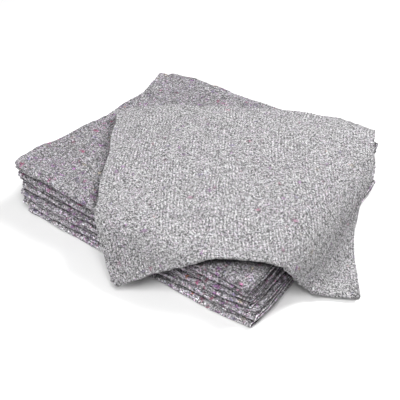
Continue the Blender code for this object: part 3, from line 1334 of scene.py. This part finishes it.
def cloth_piece(name: str, grid: Array, chart: Array, faces: list[list[int]], material: Material) -> Piece:
    """Makes a closed cloth piece of a grid, smooth all over, with the flat cloth as its map.

    Args:
        name: the piece's name.
        grid: its points.
        chart: the flat cloth's coordinates, for each point.
        faces: its faces.
        material: its finish.

    Returns:
        The piece, at the origin.
    """
    points = grid.reshape(-1, 3)
    corners = np.array([face[:3] for face in faces])
    a, b, c = (points[corners[:, corner]] for corner in range(3))
    if np.sum(np.cross(a, b) * c) < 0:
        faces = [face[::-1] for face in faces]
    mesh = bpy.data.meshes.new(name)
    mesh.from_pydata(points.tolist(), [], faces)
    mesh.shade_smooth()
    layer = mesh.uv_layers.new(name=CLOTH_MAP)
    index = np.empty(len(mesh.loops), dtype=np.int32)
    mesh.loops.foreach_get("vertex_index", index)
    layer.data.foreach_set("uv", chart.reshape(-1, 2)[index].astype(np.float32).ravel())
    mesh.materials.append(material)
    piece = bpy.data.objects.new(name, mesh)
    bpy.context.scene.collection.objects.link(piece)
    return piece


@dataclass(frozen=True)
class StackedBlankets:
    """The six blankets that lie folded on each other.

    Attributes:
        pile: the surfaces between them.
        uneven: how they depart from their even form.
        flat: the size each was cut to.
        slot: a material slot's name; not used.
    """

    pile: Pile
    uneven: Unevenness
    flat: tuple[float, float] = (1.372, 1.829)
    slot: str = "stack_felt"

    def build(self) -> list[Piece]:
        """Builds the six, each resting on the one below.

        Returns:
            The pieces, from the ground up.
        """
        pieces = []
        for number, layer in enumerate(self.pile.layers):
            cloth = FoldedCloth(layer.steps, layer.slip, layer.short)
            grid, chart = cloth.grid()
            laid = self.uneven.warp(self.pile.lay(grid, cloth, number))
            node = f"blanket_{number + 1}"
            kind = TOPMOST_FELT if layer is self.pile.layers[-1] else COVERED_FELT
            felt = replace(kind, name=node + "_felt", ground=STACK_TONES_WITH_PAINTED_LIGHT[number])
            piece = cloth_piece(node + "_cloth", laid, chart, cloth.faces(*grid.shape[:2]), felt.make())
            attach(piece, "root")
            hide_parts(node)
            pieces.append(piece)
        return pieces


@dataclass(frozen=True)
class DrapedBlanket:
    """The lighter blanket across the top.

    Attributes:
        drape: how it lies.
        uneven: how it departs from its even form.
        flat: the size it was cut to.
        slip: how far each of its path's four marks strays along its length, in millimetres.
        short: how far its free ends stop short of its fold edges, in millimetres.
        ply_pitch: between the middles of its half fold's two plies.
        pass_pitch: between the middles of its thirds fold's passes.
        slot: a material slot's name; not used.
    """

    drape: Drape
    uneven: Unevenness
    flat: tuple[float, float] = (1.399, 1.728)
    slip: Four = (-4, 0, -5, 0)
    short: tuple[float, float] = (8, 14)
    ply_pitch: float = 0.0034
    pass_pitch: float = 0.0069
    slot: str = "draped_felt"

    # It lies face down: the flat blanket is turned half round about Y.
    FACE_DOWN = (-1, 1, -1)

    def build(self, below: Piece) -> Piece:
        """Builds it over the stack.

        Args:
            below: the blanket it lies on; not used.

        Returns:
            The piece.
        """
        drape = self.drape
        cloth = FoldedCloth(
            ACROSS,
            self.slip,
            self.short,
            drape.length,
            drape.width,
            ply_pitch=self.ply_pitch,
            pass_pitch=self.pass_pitch,
        )
        grid, chart = cloth.grid()
        laid = self.uneven.warp(drape.lay(grid * self.FACE_DOWN))
        faces = cloth.faces(*grid.shape[:2])
        piece = cloth_piece("draped_blanket_cloth", laid, chart, faces, DRAPED_FELT.make())
        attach(piece, "root")
        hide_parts("draped_blanket")
        return piece


@dataclass(frozen=True)
class SoftLight:
    """A square soft light, placed by how the camera sees it.

    Attributes:
        name: its name.
        right: how far to the camera's right it stands.
        beyond: how far beyond the subject.
        up: how high.
        side: the length of its sides.
        power: its power in watts.
    """

    name: str
    right: float
    beyond: float
    up: float
    side: float
    power: float


@dataclass(frozen=True)
class Studio:
    """The plain studio: a pale floor, soft lights, and the camera at the photograph's angle.

    Attributes:
        aim: the point that the camera looks at.
        azimuth: where the camera stands, in degrees round from -Y towards +X.
        elevation: how high it stands, in degrees above the horizon.
        distance: how far from the aim.
        lens: its focal length, in millimetres.
        floor_side: the length of the floor's sides.
        floor_tone: the floor's grey.
        sky: the strength of the even light all round.
        lights: the soft lights.
    """

    aim: tuple[float, float, float] = (0.0637, -0.1045, 0.100)
    azimuth: float = 34.7
    elevation: float = 41.8
    distance: float = 2.482
    lens: float = 90.0
    floor_side: float = 30.0
    floor_tone: float = 0.68
    sky: float = 0.36
    lights: tuple[SoftLight, ...] = (
        SoftLight("key_light", 1.17, 0.46, 1.97, 1.0, 82.0),
        SoftLight("front_light", -0.10, -1.30, 2.10, 1.0, 51.0),
        SoftLight("left_light", -1.60, -1.30, 1.20, 1.2, 34.0),
    )

    def build(self) -> None:
        """Builds the floor, the lights and the camera."""
        scene = bpy.context.scene
        scene.view_settings.view_transform = "Standard"
        self.floor()
        world = bpy.data.worlds.new("even_light")
        world.use_nodes = True
        world.node_tree.nodes["Background"].inputs["Strength"].default_value = self.sky
        world.node_tree.nodes["Background"].inputs["Color"].default_value = (1, 1, 1, 1)
        scene.world = world
        for light in self.lights:
            self.lamp(light)
        camera = bpy.data.objects.new("camera", bpy.data.cameras.new("camera"))
        camera.data.lens = self.lens
        camera.location = self.seen(0, 0, 0) - self.view_way() * self.distance
        camera.rotation_euler = self.view_way().to_track_quat("-Z", "Y").to_euler()
        scene.collection.objects.link(camera)
        scene.camera = camera

    def view_way(self) -> Vector:
        """The way the camera looks."""
        azimuth, elevation = math.radians(self.azimuth), math.radians(self.elevation)
        level = math.cos(elevation)
        return Vector((-math.sin(azimuth) * level, math.cos(azimuth) * level, -math.sin(elevation)))

    def seen(self, right: float, beyond: float, up: float) -> Vector:
        """A place given as the camera sees it from the aim.

        Args:
            right: how far to the right.
            beyond: how far beyond, along the ground.
            up: how far up.

        Returns:
            The place.
        """
        azimuth = math.radians(self.azimuth)
        across = Vector((math.cos(azimuth), math.sin(azimuth), 0))
        away = Vector((-math.sin(azimuth), math.cos(azimuth), 0))
        return Vector(self.aim) + across * right + away * beyond + Vector((0, 0, up))

    def floor(self) -> None:
        """Lays the plain floor."""
        half = self.floor_side / 2
        mesh = bpy.data.meshes.new("floor")
        corners = [(-half, -half, 0), (half, -half, 0), (half, half, 0), (-half, half, 0)]
        mesh.from_pydata(corners, [], [(0, 1, 2, 3)])
        material = bpy.data.materials.new("floor_paint")
        material.use_nodes = True
        surface = material.node_tree.nodes["Principled BSDF"]
        surface.inputs["Base Color"].default_value = (*grey(self.floor_tone), 1)
        surface.inputs["Roughness"].default_value = 1.0
        surface.inputs["Specular IOR Level"].default_value = 0.0
        mesh.materials.append(material)
        floor = bpy.data.objects.new("floor", mesh)
        bpy.context.scene.collection.objects.link(floor)

    def lamp(self, light: SoftLight) -> None:
        """Hangs one soft light, turned to the aim.

        Args:
            light: its place, size and power.
        """
        data = bpy.data.lights.new(light.name, "AREA")
        data.size = light.side
        data.energy = light.power
        lamp = bpy.data.objects.new(light.name, data)
        lamp.location = self.seen(light.right, light.beyond, light.up)
        lamp.rotation_euler = (Vector(self.aim) - lamp.location).to_track_quat("-Z", "Y").to_euler()
        bpy.context.scene.collection.objects.link(lamp)


def report(piece: Piece) -> None:
    """Logs a finished piece.

    Args:
        piece: the piece.
    """
    mesh = piece.data
    triangles = sum(len(face.vertices) - 2 for face in mesh.polygons)
    log.info("%s: %d points, %d triangles", piece.name, len(mesh.vertices), triangles)


def main() -> None:
    """Builds the studio, the stack and the blanket across it."""
    logging.basicConfig(level=logging.INFO, format="%(name)s: %(message)s")
    Studio().build()
    pile, uneven = Pile(), Unevenness()
    stacked = StackedBlankets(pile, uneven).build()
    draped = DrapedBlanket(Drape(pile), uneven).build(stacked[-1])
    for piece in [*stacked, draped]:
        report(piece)


if __name__ == "__main__":
    main()
